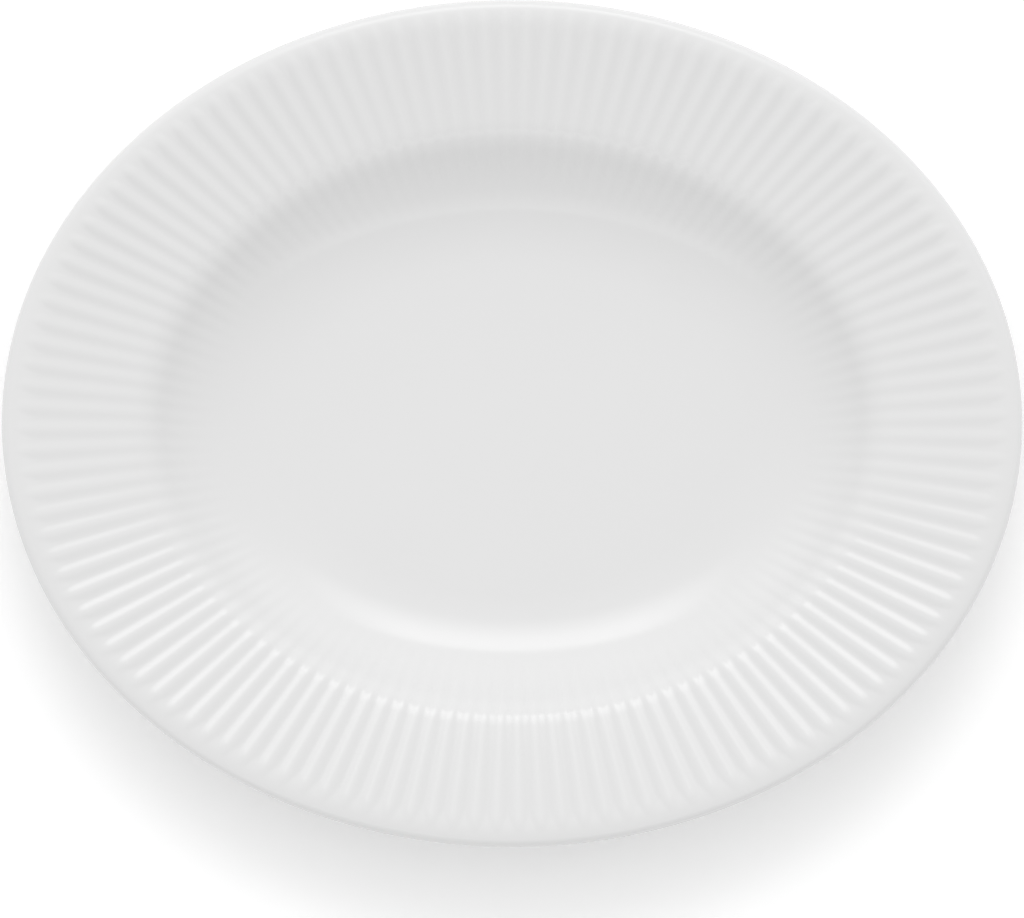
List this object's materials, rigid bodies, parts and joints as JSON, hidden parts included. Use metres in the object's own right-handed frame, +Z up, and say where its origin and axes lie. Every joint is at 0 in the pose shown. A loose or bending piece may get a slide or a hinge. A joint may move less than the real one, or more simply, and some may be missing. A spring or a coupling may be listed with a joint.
{
  "type": "deep oval plate",
  "caption": "Deep oval porcelain plate with a wide ribbed rim, a ribbed wall that curves down to a smooth oval floor, and a bare oval foot ring to stand on.",
  "frame": {"origin": "on the surface that the plate stands on, under the middle of the plate", "axes": "+X along the plate's length, +Y along its width, +Z up out of the well"},
  "size_m": [0.31, 0.26, 0.0333],
  "materials": {
    "bisque_porcelain": "matte fired porcelain, bare only on the foot ring",
    "white_glaze": "gloss white glaze"
  },
  "bodies": {
    "root": {"porcelain_body": "bisque_porcelain", "glaze_coat": "white_glaze", "foot_well_glaze": "white_glaze"}
  },
  "joints": []
}
